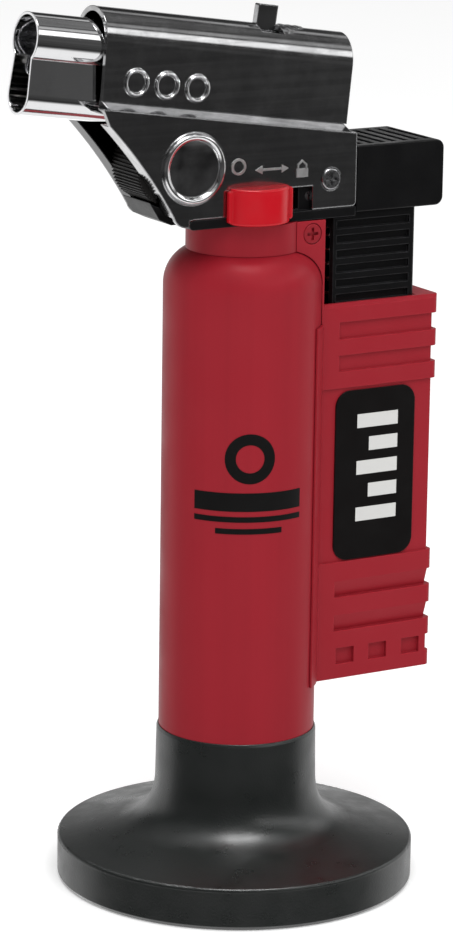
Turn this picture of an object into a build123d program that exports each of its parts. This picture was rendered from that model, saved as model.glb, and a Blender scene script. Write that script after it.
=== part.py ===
from build123d import *
import math
import os

# Table-top butane torch with a round stand.
# Frame: origin at the centre of the stand's underside, on the tank's axis; +Z up,
# the nozzle points towards -X and the grip is on the +X side. Millimetres.

os.makedirs("parts", exist_ok=True)

# ---------------------------------------------------------------- driving dimensions
RUN = 0.06                 # radial clearance of a running fit

STAND_R = 33.0             # stand disc
STAND_RIM_H = 7.8
STAND_EDGE = 0.6           # rounding of the disc's upper edge
STAND_FLARE_R = 21.5       # the disc turns up into the neck here
STAND_FLARE_Z = 10.3
STAND_NECK_FOOT_Z = 19.0
STAND_WEBS = 8
STAND_NECK_R = 14.9
STAND_TOP_Z = 29.1
SOCKET_Z = 8.2             # the tank stands here
PAD_R = 30.5               # foot pad
PAD_T = 1.2

TANK_R = 14.4
TANK_WALL = 0.9
SHOULDER_Z = 111.8         # the shoulder starts to curve in
COLLAR_Z = 118.6           # the collar sits on the shoulder
COLLAR_R = 10.45
NECK_R = 7.0
NECK_TOP_Z = 121.6
VALVE_R = 4.2
GAS_PORT_Z = 126.45

CHASSIS_Z = 124.2          # underside of the black chassis
CHASSIS_T = 1.7
CHASSIS_FRONT_X = -16.2
CHASSIS_REAR_X = 18.3
CHASSIS_HALF_W = 8.65

TILT = 8.3                 # the barrel points up by this angle, degrees
FRONT_CUT = 4.6            # lean of the barrel cover's front and rear edges
REAR_CUT = 5.9
REAR_X = 19.1              # barrel axis at its rear end
REAR_Z = 150.9
BARREL_L = 51.0
BARREL_R = 5.55
BARREL_WALL = 0.9
SKIRT_N = -10.5            # lower edge of the barrel cover, below its axis
RING_STATIONS = (31.7, 37.9, 44.1)             # embossed rings on each side
RING_N = -6.65
RING_R = 2.5
RING_INNER_R = 1.8
LEVER_S0 = 14.4            # air lever on top of the barrel
LEVER_S1 = 18.4
LEVER_HALF_W = 0.75
LEVER_TOP_N = 9.0
LEVER_SWING = 3.5          # half-width of the lever's slot
MARK_S = 9.1               # three raised flow marks behind the lever
MARK_PITCH = 1.5
MARK_LENGTH = 0.8
MARK_ANGLES = (14, 24, 36)                     # half-angle of each mark round the barrel, degrees

HOUSING_HALF_W = 8.7
HOUSING_WALL = 1.0
HOUSING_TOP_N = -11.6      # upper edge of the flat side faces, below the barrel axis
FRONT_LOW = (-19.3, 126.55)                    # X, Z along the housing's curved front edge
FRONT_MID = (-24.55, 134.5)
FRONT_HIGH = (-32.3, 143.7)
TOE = (-16.3, 124.75)      # lowest point of the front edge
HOUSING_LIP = 3.7          # depth of the turned-in front edge

BURNER_N = -1.3            # burner axis, below the barrel axis
BURNER_R = 3.7
JET_R = 3.0                # jet holder, on which the air sleeve turns
JET_INLET_S = 23.2         # the gas tube comes in here
GUARD_R = 4.65             # round upper part of the nozzle guard
GUARD_LOW_R = 3.8          # rounded lower part
GUARD_LOW_N = -10.9
GUARD_REAR_S = 42.0
GUARD_MOUTH_S = 64.0
GUARD_WALL = 0.5
LEAD_Y = 1.8               # plane of the ignition lead and the electrode
LEAD_R = 0.8
ELECTRODE_N = -8.0

WHEEL_X = -18.3            # flame adjuster wheel
WHEEL_Z = 134.6
WHEEL_R = 6.3
WHEEL_HALF_W = 4.8
WHEEL_RIBS = 60

BOSS_X = -15.6             # round boss on each side of the housing
BOSS_Z = 135.2
BOSS_R = 6.45
HOUSING_SCREW_X = 12.94
HOUSING_SCREW_Z = 131.3

SLOT_X0 = -8.2             # window for the lock slider
SLOT_X1 = 9.1
SLOT_TOP_Z = 130.35
PLATE_BOTTOM_Z = 126.05
SLIDER_X0 = -8.8           # lock slider's flange
SLIDER_X1 = 4.4
SLIDER_Z0 = 124.95
SLIDER_Z1 = 130.75
SLIDER_BULGE = (5.9, 4.4)  # half-length and reach of its rounded front
SLIDER_STALK_X1 = 2.9      # rear end of the slider's inner stalk
SLIDER_TRAVEL = 3.6

GRIP_HALF_W = 8.7
GRIP_WALL = 1.2
GRIP_REAR_X = 37.0
GRIP_GROOVE = 1.2          # depth of the grooves between the grip's ribs
GRIP_TOP_Z = 108.2
GRIP_BOTTOM_Z = 37.4
PANEL_REAR_X = 12.0        # upper red panel beside the collar
PANEL_TOP_Z = 124.0
SCREW_SHANK_R = 0.8
SCREW_HOLE_R = 0.83
GRIP_SCREW_HEAD_R = 1.85
GRIP_SCREW_X = 9.3         # screw in the near side of the upper panel
GRIP_SCREW_Z = 121.6
FAR_SCREWS = ((16.6, 42.0), (33.0, 83.0))      # X, Z of the two screws in the far half
RIBS_UPPER = ((98.6, 101.6), (92.5, 95.6))     # grip ribs, lower and upper edge
RIBS_LOWER = ((56.1, 59.7), (49.6, 52.95), (43.4, 46.5), (GRIP_BOTTOM_Z, 40.15))
GAP_TOP_Z = 104.75         # upper edge of the highest groove
SADDLE_T = 0.45            # lip of the grip along the tank
GROOVE_X0 = 15.5           # the grip's grooves start here
POCKETS_X = (16.1, 23.25, 30.5)                # square pockets between the two lowest ribs
POCKET_W = 3.9
LABEL_X0 = 15.15
LABEL_X1 = 32.25
LABEL_Z0 = 59.9
LABEL_Z1 = 91.8
LABEL_CORNER = 3.0

ROCKER_X = 9.0             # valve rocker pivot
ROCKER_Z = 128.4
LEAD_X = 12.9              # where the ignition lead rises through the chassis

BUTTON_X0 = 18.55
BUTTON_X1 = 37.2
BUTTON_Z0 = 124.8
BUTTON_Z1 = 136.9
BUTTON_HALF_W = 8.7
BUTTON_GROOVES = 7         # grip grooves across its top
BUTTON_GROOVE_X0 = 20.2
BUTTON_GROOVE_PITCH = 2.44
BUTTON_GROOVE_W = 1.2
BUTTON_GROOVE_END = 1.75   # the grooves stop this far from the sides
STEM_X0 = 14.6
STEM_X1 = 32.3
STEM_HALF_W = 7.3
STEM_BOTTOM_Z = 96.0
STEM_CAP_Z = 121.8         # underside of the stem's closed top, where the spring and plunger push
STEM_GROOVES = 6
STEM_PITCH = 2.71
STEM_GROOVE_H = 1.47
SPRING_X = 18.6
SPRING_SEAT_Z = 98.1
FINGER_X0 = 14.05          # finger of the stem that works the rocker
FINGER_X1 = 15.0
LEAD_RISE_X = 15.55        # the ignition lead runs up here inside the grip
LEAD_NOTCH_X1 = 16.6       # the stem's top is cut away round the ignition lead
PIEZO_X = 26.0
PIEZO_R = 3.4

# ---------------------------------------------------------------- helpers
FORWARD = Vector(-math.cos(math.radians(TILT)), 0, math.sin(math.radians(TILT)))
UP = Vector(math.sin(math.radians(TILT)), 0, math.cos(math.radians(TILT)))
REAR = Vector(REAR_X, 0, REAR_Z)


def save(name, shape):
    """Write one node. A list becomes a group of separate solids."""
    if isinstance(shape, (list, tuple)):
        shape = Compound(children=list(shape))
    shape.label = name
    export_step(shape, f"parts/{name}.step")


def head(s, n=0.0, y=0.0):
    """Point in the barrel's own directions: s forward of the rear end, n above the axis."""
    return REAR + FORWARD * s + UP * n + Vector(0, y, 0)


def along_barrel(sketch, s0, s1):
    """Extrude a section drawn in (-Y, up) between two stations of the barrel."""
    plane = Plane(origin=head(s0), x_dir=(0, -1, 0), z_dir=FORWARD)
    return extrude(plane * sketch, amount=s1 - s0)


def sideways(sketch, y0, y1):
    """Extrude an (X, Z) outline from y0 to y1."""
    plane = Plane(origin=(0, max(y0, y1), 0), x_dir=(1, 0, 0), z_dir=(0, -1, 0))
    return extrude(plane * sketch, amount=abs(y1 - y0))


def block(x0, x1, y0, y1, z0, z1):
    return Pos((x0 + x1) / 2, (y0 + y1) / 2, (z0 + z1) / 2) * Box(x1 - x0, y1 - y0, z1 - z0)


def post(x, y, z0, z1, r):
    return Pos(x, y, (z0 + z1) / 2) * Cylinder(r, z1 - z0)


def cross_post(x, z, y0, y1, r):
    """Cylinder along Y."""
    return sideways(Pos(x, z) * Circle(r), y0, y1)


def turned(points):
    """Revolve a straight-sided (radius, z) profile about Z."""
    return revolve(Plane.XZ * make_face(Polyline(*points, close=True)), axis=Axis.Z)


def coil(x, y, z0, z1, r, wire, turns):
    """Compression spring with its axis along Z, between two seats."""
    pitch = (z1 - z0 - 2 * wire) / turns
    path = Pos(x, y, z0 + wire) * Helix(pitch=pitch, height=pitch * turns, radius=r)
    section = Plane(origin=path @ 0, z_dir=path % 0) * Circle(wire)
    return sweep(section, path=path, is_frenet=True)


def phillips(x, z, side, head_r, head_h, face_y, shank_r, shank_l):
    """Cross-recess screw along Y; side is -1 for the near side, +1 for the far side."""
    out = side * face_y
    body = cross_post(x, z, out, out + side * head_h, head_r)
    edges = body.edges().filter_by(GeomType.CIRCLE)
    outer = edges.sort_by(Axis.Y)[-1 if side > 0 else 0]
    body = fillet(outer, head_h * 0.45)
    body += cross_post(x, z, out - side * shank_l, out, shank_r)
    deep = out + side * (head_h - 0.5)
    top = out + side * (head_h + 1)
    arm = head_r * 0.62
    for long_x, long_z in ((arm, arm * 0.24), (arm * 0.24, arm)):
        body -= block(x - long_x, x + long_x, min(deep, top), max(deep, top), z - long_z, z + long_z)
    return body


def mirrored(shape):
    return mirror(shape, about=Plane.XZ)


# ---------------------------------------------------------------- stand
def make_stand():
    edge = STAND_EDGE
    flare = (STAND_FLARE_R, STAND_FLARE_Z)
    neck_foot = (STAND_NECK_R, STAND_NECK_FOOT_Z)
    outline = [
        Line((0, PAD_T), (PAD_R + 0.2, PAD_T)),
        Line((PAD_R + 0.2, PAD_T), (PAD_R + 0.2, 0)),
        Line((PAD_R + 0.2, 0), (STAND_R - 0.8, 0)),
        Line((STAND_R - 0.8, 0), (STAND_R, 0.8)),
        Line((STAND_R, 0.8), (STAND_R, STAND_RIM_H - edge)),
        RadiusArc((STAND_R, STAND_RIM_H - edge), (STAND_R - edge, STAND_RIM_H + 0.15), -edge),
        Line((STAND_R - edge, STAND_RIM_H + 0.15), flare),
        Spline(flare, neck_foot, tangents=((-1, 0.24), (-0.04, 1))),
        Line(neck_foot, (STAND_NECK_R - 0.15, STAND_TOP_Z - 0.6)),
        Line((STAND_NECK_R - 0.15, STAND_TOP_Z - 0.6), (STAND_NECK_R - 0.4, STAND_TOP_Z)),
        Line((STAND_NECK_R - 0.4, STAND_TOP_Z), (0, STAND_TOP_Z)),
        Line((0, STAND_TOP_Z), (0, PAD_T)),
    ]
    body = revolve(Plane.XZ * make_face(outline), axis=Axis.Z)
    body -= post(0, 0, SOCKET_Z, STAND_TOP_Z + 1, TANK_R + RUN)
    body -= post(0, 0, 4.2, SOCKET_Z + 1, 5.0)
    hollow = turned([(17.0, PAD_T - 1), (30.0, PAD_T - 1), (30.0, 5.6), (21.5, 7.9), (17.0, 9.6)])
    body -= hollow
    for k in range(STAND_WEBS):
        body += Rot(0, 0, 360 * k / STAND_WEBS) * block(16.9, 30.1, -0.7, 0.7, PAD_T, 5.5)
    save("base_stand", body)
    save("foot_pad", post(0, 0, 0, PAD_T, PAD_R))


# ---------------------------------------------------------------- tank and its valves
def make_tank():
    inner_r = TANK_R - TANK_WALL
    outer = make_face([
        Line((0, SOCKET_Z), (TANK_R - 0.8, SOCKET_Z)),
        Line((TANK_R - 0.8, SOCKET_Z), (TANK_R, SOCKET_Z + 0.8)),
        Line((TANK_R, SOCKET_Z + 0.8), (TANK_R, SHOULDER_Z)),
        ThreePointArc((TANK_R, SHOULDER_Z), (13.2, 116.0), (COLLAR_R - 0.3, COLLAR_Z)),
        Line((COLLAR_R - 0.3, COLLAR_Z), (NECK_R, COLLAR_Z)),
        Line((NECK_R, COLLAR_Z), (NECK_R, NECK_TOP_Z)),
        Line((NECK_R, NECK_TOP_Z), (0, NECK_TOP_Z)),
        Line((0, NECK_TOP_Z), (0, SOCKET_Z)),
    ])
    inner = make_face([
        Line((0, SOCKET_Z - 1), (inner_r, SOCKET_Z - 1)),
        Line((inner_r, SOCKET_Z - 1), (inner_r, SHOULDER_Z)),
        ThreePointArc((inner_r, SHOULDER_Z), (12.3, 115.3), (9.6, 117.5)),
        Line((9.6, 117.5), (0, 117.5)),
        Line((0, 117.5), (0, SOCKET_Z - 1)),
    ])
    shell = revolve(Plane.XZ * outer, axis=Axis.Z) - revolve(Plane.XZ * inner, axis=Axis.Z)
    shell -= post(0, 0, 116, NECK_TOP_Z + 1, VALVE_R + RUN)
    save("fuel_tank", shell)

    plug = post(0, 0, SOCKET_Z, 11.4, inner_r) - post(0, 0, SOCKET_Z - 1, 12, 3.0)
    save("tank_bottom_plug", plug)

    collar = post(0, 0, COLLAR_Z, CHASSIS_Z - 0.1, COLLAR_R)
    collar -= post(0, 0, COLLAR_Z - 1, CHASSIS_Z, NECK_R + RUN)
    save("neck_collar", collar)
    seal = turned([(VALVE_R + RUN, NECK_TOP_Z), (NECK_R - 0.1, NECK_TOP_Z),
                   (NECK_R - 0.1, NECK_TOP_Z + 1.2), (VALVE_R + RUN, NECK_TOP_Z + 1.2)])
    save("neck_seal", seal)


def make_refill_valve():
    body = turned([(1.5, 6.0), (2.2, 6.0), (2.2, 7.4), (3.0, 7.4), (3.0, 16.0), (1.1, 16.0),
                   (1.1, 14.8), (2.1, 14.8), (2.1, 7.6), (1.5, 7.6)])
    save("refill_valve_body", body)
    stem = turned([(0, 5.2), (1.3, 5.2), (1.3, 8.6), (1.9, 8.6), (1.9, 9.6), (0.9, 9.6),
                   (0.9, 12.0), (0, 12.0)])
    save("refill_valve_stem", stem)
    save("refill_valve_spring", coil(0, 0, 9.65, 14.75, 1.5, 0.22, 4))


def make_gas_valve():
    body = turned([(2.9, 110.5), (VALVE_R, 110.5), (VALVE_R, 123.6), (2.7, 123.6), (2.7, 127.4),
                   (1.31, 127.4), (1.31, 123.0), (2.9, 123.0)])
    port = Plane(origin=(-2.2, 0, GAS_PORT_Z), z_dir=(-1, 0, 0)) * Circle(0.85)
    body += extrude(port, amount=1.4)
    save("gas_valve_body", body)
    stem = turned([(0, 112.2), (2.0, 112.2), (2.0, 114.0), (1.25, 114.0), (1.25, 129.4), (2.3, 129.4),
                   (2.3, 130.6), (0, 130.6)])
    save("gas_valve_stem", stem)
    save("gas_valve_spring", coil(0, 0, 114.1, 122.9, 2.1, 0.28, 5))
    seat = turned([(1.0, 108.6), (2.85, 108.6), (2.85, 111.2), (1.0, 111.2)])
    save("valve_seat", seat)
    save("dip_tube", post(0, 0, 30, 108.5, 1.7) - post(0, 0, 29, 109, 1.0))


# ---------------------------------------------------------------- chassis and housing
def make_chassis():
    z0 = CHASSIS_Z
    z1 = CHASSIS_Z + CHASSIS_T
    wall_out = HOUSING_HALF_W - HOUSING_WALL - 0.1
    wall_in = wall_out - 1.2
    edge = CHASSIS_T / 2 - 0.02
    strip = Pos((CHASSIS_FRONT_X + CHASSIS_REAR_X) / 2, (z0 + z1) / 2) * Rectangle(
        CHASSIS_REAR_X - CHASSIS_FRONT_X, CHASSIS_T)
    strip = fillet(strip.vertices().sort_by(Axis.X)[:2], edge)
    body = sideways(strip, -CHASSIS_HALF_W, CHASSIS_HALF_W)
    for side in (-1, 1):
        low, high = sorted((side * wall_in, side * wall_out))
        body += block(-12.5, 17.2, low, high, z1 - 0.2, 133.2)
    nose = make_face(Polyline((-22.9, 130.1), (-20.2, 125.8), (-17.8, z0 + 0.5), (-12.4, z0 + 0.5),
                              (-12.4, 130.2), close=True))
    body += sideways(nose, -WHEEL_HALF_W - 0.05, WHEEL_HALF_W + 0.05)
    body -= cross_post(WHEEL_X, WHEEL_Z, -9, 9, WHEEL_R + 0.5)
    body -= post(0, 0, z0 - 1, 127, VALVE_R + 0.1)
    body -= block(13.8, 21, -1.8, 1.8, z0 - 1, z1 + 1)
    body -= block(-9.3, -2, -0.95, 0.95, GAS_PORT_Z - 0.9, z1 + 0.5)
    body -= post(LEAD_X, LEAD_Y, z0 - 1, z1 + 1, 1.0)
    stalk_end = SLIDER_STALK_X1 + SLIDER_TRAVEL + 0.3
    body -= block(SLOT_X0 - 0.4, stalk_end, -wall_out - 0.4, -wall_in + 0.4, z1 + 0.3, 135)
    hanger = block(7.2, 11.7, -STEM_HALF_W + 0.16, -5.6, 119.5, z0 + 0.2)
    hanger -= post(0, 0, 118, z0, COLLAR_R + 0.15)
    body += hanger - cross_post(GRIP_SCREW_X, GRIP_SCREW_Z, -9, 0, SCREW_HOLE_R)
    for side in (-1, 1):
        body -= cross_post(HOUSING_SCREW_X, HOUSING_SCREW_Z, side * 5, side * 9, SCREW_HOLE_R)
    body -= cross_post(ROCKER_X, ROCKER_Z, -9, 9, 0.8)
    save("chassis", body)


def housing_outline():
    """Side face of the chrome housing in (X, Z), with the slider window at its lower edge."""
    top_front = head(51.6, HOUSING_TOP_N)
    top_rear = head(-2.0, HOUSING_TOP_N)
    rear_x = CHASSIS_REAR_X
    top_rear_z = top_rear.Z + (top_rear.X - rear_x) * math.tan(math.radians(TILT))
    corner = 0.8
    return [
        Line((top_front.X, top_front.Z), (rear_x, top_rear_z)),
        Line((rear_x, top_rear_z), (rear_x, PLATE_BOTTOM_Z + corner)),
        RadiusArc((rear_x, PLATE_BOTTOM_Z + corner), (rear_x - corner, PLATE_BOTTOM_Z), corner),
        Line((rear_x - corner, PLATE_BOTTOM_Z), (SLOT_X1, PLATE_BOTTOM_Z)),
        Line((SLOT_X1, PLATE_BOTTOM_Z), (SLOT_X1, SLOT_TOP_Z)),
        Line((SLOT_X1, SLOT_TOP_Z), (SLOT_X0, SLOT_TOP_Z)),
        Line((SLOT_X0, SLOT_TOP_Z), (SLOT_X0, PLATE_BOTTOM_Z)),
        Line((SLOT_X0, PLATE_BOTTOM_Z), (-15.5, PLATE_BOTTOM_Z)),
        RadiusArc((-15.5, PLATE_BOTTOM_Z), TOE, -1.6),
        ThreePointArc(TOE, (-18.1, 125.05), FRONT_LOW),
        ThreePointArc(FRONT_LOW, FRONT_MID, FRONT_HIGH),
        Line(FRONT_HIGH, (top_front.X, top_front.Z)),
    ]


def front_lip():
    """Strip that follows the slanted front edge, in (X, Z)."""
    inner_high = (FRONT_HIGH[0] + 1.17, FRONT_HIGH[1])
    inner_mid = (FRONT_MID[0] + 1.08, FRONT_MID[1])
    inner_low = (FRONT_LOW[0] + 0.99, FRONT_LOW[1] + 0.2)
    return make_face([
        ThreePointArc(FRONT_LOW, FRONT_MID, FRONT_HIGH),
        Line(FRONT_HIGH, inner_high),
        ThreePointArc(inner_high, inner_mid, inner_low),
        Line(inner_low, FRONT_LOW),
    ])


def trim_toe(body):
    """Nothing of the housing reaches below the chassis plate or into it."""
    return body - block(CHASSIS_FRONT_X - 0.05, CHASSIS_REAR_X + 1, -HOUSING_HALF_W - 1, HOUSING_HALF_W + 1,
                        CHASSIS_Z - 2, CHASSIS_Z + CHASSIS_T + 0.02)


def make_housing_half(side, name):
    """One side of the chrome lower housing; side -1 is the near half, +1 the far half."""
    out = HOUSING_HALF_W
    inside = out - HOUSING_WALL
    body = sideways(make_face(housing_outline()), -out, -inside)
    body += sideways(front_lip(), -out, -out + HOUSING_LIP)
    shelf = make_face(Polyline((out, HOUSING_TOP_N), (BARREL_R, SKIRT_N - 0.02), (4.6, SKIRT_N - 0.02),
                               (4.6, HOUSING_TOP_N - 0.4), (inside, HOUSING_TOP_N - 1.2),
                               (out, HOUSING_TOP_N - 1.2), close=True))
    body += along_barrel(shelf, 0.2, BARREL_L - 0.6)
    boss = cross_post(BOSS_X, BOSS_Z, -out, -out - 0.75, BOSS_R)
    boss = fillet(boss.edges().filter_by(GeomType.CIRCLE).sort_by(Axis.Y)[0], 0.6)
    boss -= cross_post(BOSS_X, BOSS_Z, -out - 0.1, -out - 2, BOSS_R - 1.25)
    body += boss
    dish_r = 26.0
    dish = Pos(BOSS_X, -out - dish_r + 0.55, BOSS_Z) * Sphere(dish_r)
    body -= dish & cross_post(BOSS_X, BOSS_Z, -out - 1, -out + 0.9, BOSS_R - 1.25)
    seat = cross_post(HOUSING_SCREW_X, HOUSING_SCREW_Z, -out - 1, -out + 0.5, 2.05)
    body -= seat
    body -= cross_post(HOUSING_SCREW_X, HOUSING_SCREW_Z, -out - 1, -inside + 1, 1.05)
    body = trim_toe(body)
    if side > 0:
        body = mirrored(body)
    save(name, body)


def leaning_block(at, lean, length):
    """Large block whose face passes through a point on the axis and leans from the vertical."""
    size = 60
    blank = Pos(length / 2, 0, 0) * Box(abs(length), size, size)
    return Pos(at.X, at.Y, at.Z) * Rot(0, lean, 0) * blank


def make_barrel_cover():
    outer = Circle(BARREL_R) + Pos(0, SKIRT_N / 2) * Rectangle(2 * BARREL_R, -SKIRT_N)
    r = BARREL_R - BARREL_WALL
    inner = Circle(r) + Pos(0, SKIRT_N / 2 - 1) * Rectangle(2 * r, 2 - SKIRT_N)
    body = along_barrel(outer, -2, BARREL_L + 2)
    body -= leaning_block(head(BARREL_L), FRONT_CUT, -20)
    body -= leaning_block(head(0), REAR_CUT, 20)
    hollow = along_barrel(inner, -2, BARREL_L + 3)
    hollow -= leaning_block(head(BARREL_WALL), REAR_CUT, 20)
    body -= hollow
    body -= along_barrel(Pos(0, 5) * Rectangle(2 * LEVER_SWING, 6), LEVER_S0 - 0.4, LEVER_S1 + 0.4)
    for s in RING_STATIONS:
        near_side = Plane(origin=head(s, RING_N, -BARREL_R + 0.1), x_dir=(1, 0, 0), z_dir=(0, -1, 0))
        ring = extrude(near_side * (Circle(RING_R) - Circle(RING_INNER_R)), amount=0.6)
        ring = fillet(ring.edges().filter_by(GeomType.CIRCLE).group_by(Axis.Y)[0], 0.2)
        body += ring
        body += mirrored(ring)
    for k, angle in enumerate(MARK_ANGLES):
        s = MARK_S + MARK_PITCH * k
        reach = 2 * BARREL_R * math.tan(math.radians(angle))
        wedge = make_face(Polyline((0, 0), (reach, 2 * BARREL_R), (-reach, 2 * BARREL_R), close=True))
        body += along_barrel((Circle(BARREL_R + 0.25) - Circle(BARREL_R - 0.05)) & wedge, s, s + MARK_LENGTH)
    save("barrel_cover", body)


def make_housing_screws():
    screws = []
    for side in (-1, 1):
        screws.append(phillips(HOUSING_SCREW_X, HOUSING_SCREW_Z, side, 1.95, 0.75,
                               HOUSING_HALF_W - 0.5, SCREW_SHANK_R, 2.4))
    save("housing_screws", screws)


# ---------------------------------------------------------------- burner
def guard_section(grow):
    low = make_hull([*(Pos(0, -4.4) * Circle(3.35 + grow)).edges(),
                     *(Pos(0, GUARD_LOW_N) * Circle(GUARD_LOW_R + grow)).edges()])
    return Pos(0, BURNER_N) * Circle(GUARD_R + grow) + low


def make_burner():
    guard = along_barrel(guard_section(0), GUARD_REAR_S, GUARD_MOUTH_S)
    guard -= along_barrel(guard_section(-GUARD_WALL), GUARD_REAR_S - 1, GUARD_MOUTH_S + 1)
    save("nozzle_guard", guard)

    tube = along_barrel(Pos(0, BURNER_N) * Circle(BURNER_R), 26.6, 59.0)
    tube -= along_barrel(Pos(0, BURNER_N) * Circle(BURNER_R - 0.4), 26, 60)
    for s in (29.5, 32.5):
        hole = Plane(origin=head(s, BURNER_N, -6), x_dir=(1, 0, 0), z_dir=(0, 1, 0)) * Circle(0.8)
        tube -= extrude(hole, amount=12)
    save("burner_tube", tube)

    disc = Pos(0, BURNER_N) * (Circle(BURNER_R - 0.45) - Circle(0.9))
    for k in range(6):
        angle = math.radians(60 * k)
        disc -= Pos(2.0 * math.cos(angle), BURNER_N + 2.0 * math.sin(angle)) * Circle(0.5)
    save("flame_holder", along_barrel(disc, 53.0, 55.2))

    r = BARREL_R - BARREL_WALL - 0.06
    bracket = Circle(r) + Pos(0, -4.8) * Rectangle(2 * r, 9.6)
    bracket -= Pos(0, BURNER_N) * Circle(BURNER_R + 0.02)
    bracket -= Pos(-LEAD_Y, ELECTRODE_N) * Circle(1.02)
    save("burner_bracket", along_barrel(bracket, 36.0, 39.0))

    jet = along_barrel(Circle(JET_R), 10.5, 20.9)
    jet += along_barrel(Pos(0, BURNER_N) * Circle(2.5), 20.4, 26.5)
    jet += along_barrel(Pos(0, BURNER_N) * Circle(1.0), 26.4, 28.4)
    inlet = Plane(origin=head(JET_INLET_S, -6.0), z_dir=UP) * Circle(1.5)
    jet += extrude(inlet, amount=4.0)
    jet -= along_barrel(Pos(0, BURNER_N) * Circle(0.25), JET_INLET_S, 29)
    bore = Plane(origin=head(JET_INLET_S, -6.5), z_dir=UP) * Circle(0.5)
    jet -= extrude(bore, amount=5.6)
    save("gas_jet", jet)

    insulator = along_barrel(Pos(-LEAD_Y, ELECTRODE_N) * Circle(1.0), 30.0, 56.0)
    insulator -= along_barrel(Pos(-LEAD_Y, ELECTRODE_N) * Circle(0.37), 29, 57)
    save("electrode_insulator", insulator)
    a = head(31.0, ELECTRODE_N, LEAD_Y)
    b = head(60.6, ELECTRODE_N, LEAD_Y)
    c = head(60.6, -4.6, LEAD_Y)
    path = FilletPolyline(a, b, c, radius=1.4)
    save("electrode", sweep(Plane(origin=path @ 0, z_dir=path % 0) * Circle(0.35), path=path))


def make_gas_tube():
    start = Vector(-3.65, 0, GAS_PORT_Z)
    end = head(JET_INLET_S, -6.05)
    corner = end - UP * ((end.Z - GAS_PORT_Z) / UP.Z)
    path = FilletPolyline(start, corner, end, radius=2.6)
    tube = sweep(Plane(origin=path @ 0, z_dir=path % 0) * Circle(0.8), path=path)
    save("gas_tube", tube)


def fillet_radii(points):
    """Largest useful arc at each corner of a route: 0.45 of the shorter run over tan(turn / 2)."""
    radii = []
    for a, b, c in zip(points, points[1:], points[2:]):
        into = Vector(*b) - Vector(*a)
        out = Vector(*c) - Vector(*b)
        turn = math.radians(into.get_angle(out))
        radii.append(0.45 * min(into.length, out.length) / math.tan(turn / 2))
    return radii


def make_ignition_lead():
    """Flexible lead: from the piezo under the grip's core, up beside the stem and into the barrel."""
    top = head(29.9, ELECTRODE_N, LEAD_Y)
    corner_s = (REAR_X + ELECTRODE_N * UP.X - LEAD_X) / -FORWARD.X
    corner = head(corner_s, ELECTRODE_N, LEAD_Y)
    points = [(PIEZO_X, LEAD_Y, 59.6), (PIEZO_X, LEAD_Y, 50.0), (LEAD_RISE_X, LEAD_Y, 50.0),
              (LEAD_RISE_X, LEAD_Y, 114.4), (LEAD_X, LEAD_Y, 121.0), tuple(corner), tuple(top)]
    path = FilletPolyline(*points, radius=fillet_radii(points))
    save("ignition_lead", sweep(Plane(origin=path @ 0, z_dir=path % 0) * Circle(LEAD_R), path=path))


def make_air_sleeve():
    sleeve = along_barrel(Circle(4.3) - Circle(JET_R + RUN), 12.6, 19.9)
    for angle in (90, 210, 330):
        hole = Plane(origin=head(19.0), x_dir=(0, -1, 0), z_dir=FORWARD)
        sleeve -= extrude(hole * (Rot(0, 0, angle) * Pos(4, 0) * Rectangle(3, 1.6)), amount=2)
    save("air_sleeve", sleeve)
    root_n = 4.3
    tab = Pos(0, (root_n + LEVER_TOP_N) / 2) * Rectangle(2 * LEVER_HALF_W, LEVER_TOP_N - root_n)
    tab = along_barrel(tab, LEVER_S0, LEVER_S1)
    tab = fillet(tab.edges().group_by(Axis.Z)[-1], 0.3)
    save("air_lever", tab)


def make_adjuster_wheel():
    core_r = WHEEL_R - 0.32
    points = []
    for k in range(WHEEL_RIBS):
        for radius, part in ((core_r, 0.0), (core_r, 0.4), (WHEEL_R, 0.55), (WHEEL_R, 0.85)):
            angle = 2 * math.pi * (k + part) / WHEEL_RIBS
            points.append((WHEEL_X + radius * math.cos(angle), WHEEL_Z + radius * math.sin(angle)))
    wheel = sideways(make_face(Polyline(*points, close=True)), -WHEEL_HALF_W, WHEEL_HALF_W)
    wheel -= cross_post(WHEEL_X, WHEEL_Z, -9, 9, 1.0 + RUN)
    save("adjuster_wheel", wheel)
    reach = HOUSING_HALF_W - HOUSING_WALL - 0.02
    save("adjuster_axle", cross_post(WHEEL_X, WHEEL_Z, -reach, reach, 1.0))


# ---------------------------------------------------------------- lock slider and valve rocker
def make_lock_slider():
    face = HOUSING_HALF_W + 0.08
    x0, x1, z0, z1 = SLIDER_X0, SLIDER_X1, SLIDER_Z0, SLIDER_Z1
    flange = block(x0, x1, -face - 0.9, -face, z0, z1)
    flange = fillet(flange.edges().filter_by(Axis.Y), 0.5)
    bulge = Plane.XY.offset(z0 - 0.35) * (Pos((x0 + x1) / 2, -face) * Ellipse(*SLIDER_BULGE))
    bulge = extrude(bulge, amount=z1 - z0 + 0.75)
    bulge = fillet(bulge.edges().filter_by(Plane.XY), 0.4)
    bulge -= block(-12, 12, -face, 3, 120, 135)
    stalk = block(-7.7, SLIDER_STALK_X1, -face - 0.2, -5.9, 126.5, 129.9)
    save("lock_slider", flange + bulge + stalk)


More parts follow.
